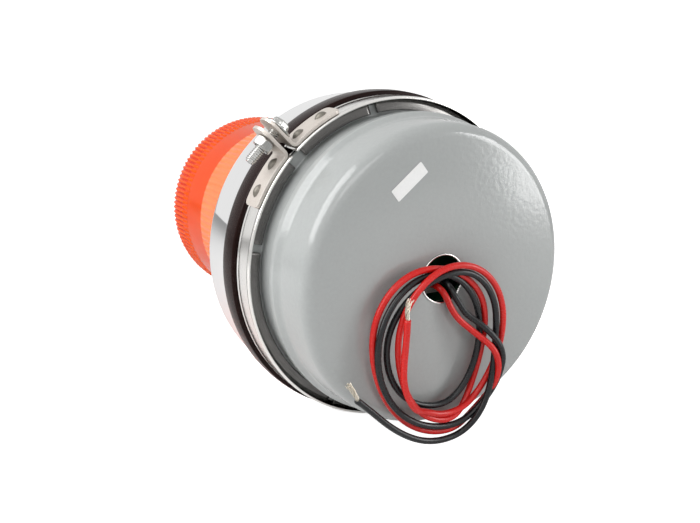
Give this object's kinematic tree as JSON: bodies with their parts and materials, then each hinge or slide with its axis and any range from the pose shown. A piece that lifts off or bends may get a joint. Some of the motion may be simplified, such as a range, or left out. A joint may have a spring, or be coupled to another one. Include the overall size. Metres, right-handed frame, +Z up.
{
  "type": "barricade warning light",
  "caption": "Round warning light: grey steel can with a wire entry and loose leads, V-band clamp, polished cover and ribbed amber lens.",
  "frame": {"origin": "centre of the wire entry, on the outside of the flat back face", "axes": "+Y along the light from the back face to the end of the lens, +Z up as the light lies on its side with the coil of leads hanging down"},
  "size_m": [0.156, 0.2289, 0.156],
  "materials": {
    "grey_paint": "light grey gloss paint with a slight orange-peel texture",
    "stainless": "bright rolled stainless steel",
    "lug_steel": "warm grey matt stamped stainless steel",
    "chrome": "polished, mirror bright",
    "zinc": "zinc plated steel",
    "dark_rubber": "glossy dark brown-black rubber",
    "seal_rubber": "black seal rubber",
    "amber": "clear amber-orange acrylic with fine prisms",
    "glass": "clear flash-tube glass",
    "board": "green circuit board",
    "ceramic": "off-white terminal ceramic",
    "black_plastic": "black moulded plastic",
    "sleeve": "dark capacitor sleeve",
    "red_vinyl": "red wire insulation",
    "black_vinyl": "black wire insulation",
    "tinned": "tinned copper strands",
    "label": "plain white label"
  },
  "bodies": {
    "housing": {"base_housing": "grey_paint", "hole_lip": "stainless", "blank_sticker": "label", "cover": "chrome", "flange_seal": "seal_rubber", "rubber_ring": "dark_rubber", "lens_collar": "black_plastic", "lamp_plate": "zinc", "plate_screw_1": "zinc", "plate_screw_2": "zinc", "plate_screw_3": "zinc", "lamp_socket": "black_plastic", "flash_tube": "glass", "trigger_coil": "black_plastic", "power_board": "board", "board_standoff_1": "zinc", "board_screw_1": "zinc", "board_standoff_2": "zinc", "board_screw_2": "zinc", "board_standoff_3": "zinc", "board_screw_3": "zinc", "board_standoff_4": "zinc", "board_screw_4": "zinc", "transformer": "black_plastic", "main_capacitor": "sleeve", "filter_capacitor": "sleeve", "terminal_block": "ceramic", "lead_coil": "red_vinyl", "inner_lead_red": "red_vinyl", "lead_red": "red_vinyl", "lead_tail_red": "red_vinyl", "bare_end_red": "tinned", "inner_lead_black": "black_vinyl", "lead_black": "black_vinyl", "lead_tail_black": "black_vinyl", "bare_end_black": "tinned"},
    "clamp_upper": {"strap_upper": "stainless", "retainer_upper_1": "stainless", "retainer_upper_2": "stainless", "retainer_upper_3": "stainless", "lug_upper": "lug_steel", "rivet_upper_1": "lug_steel", "rivet_upper_2": "lug_steel", "screw_washer": "zinc"},
    "clamp_lower": {"strap_lower": "stainless", "retainer_lower_1": "stainless", "retainer_lower_2": "stainless", "retainer_lower_3": "stainless", "lug_lower": "lug_steel", "rivet_lower_1": "lug_steel", "rivet_lower_2": "lug_steel", "clamp_nut": "zinc"},
    "screw": {"clamp_screw": "zinc"},
    "seal": {"lens_seal": "seal_rubber"},
    "lens": {"lens": "amber"}
  },
  "joints": [
    {"name": "screw_turn", "type": "hinge", "parent": "clamp_upper", "child": "screw", "pos_m": [-0.05974, 0.043, 0.06186], "axis": [-0.7193, 0, -0.6947], "range_deg": [0, 2937.6]},
    {"name": "clamp_upper_open", "type": "hinge", "parent": "housing", "child": "clamp_upper", "pos_m": [0.05248, 0.043, -0.05435], "axis": [0, 1, 0], "range_deg": [0, 1.13]},
    {"name": "clamp_lower_open", "type": "hinge", "parent": "housing", "child": "clamp_lower", "pos_m": [0.05248, 0.043, -0.05435], "axis": [0, 1, 0], "range_deg": [-1.16, 0]},
    {"name": "lens_lift", "type": "slide", "parent": "housing", "child": "seal", "axis": [0, 1, 0], "range_m": [0, 0.0051]},
    {"name": "lens_turn", "type": "hinge", "parent": "seal", "child": "lens", "pos_m": [0, 0.1, 0], "axis": [0, 1, 0], "range_deg": [0, 450]}
  ],
  "couplings": [
    {"joint": "screw_turn", "follows": "clamp_upper_open", "ratio": 2537.6},
    {"joint": "clamp_lower_open", "follows": "clamp_upper_open", "ratio": -1},
    {"joint": "lens_lift", "follows": "lens_turn", "m_per_rad": 0.00063662}
  ]
}
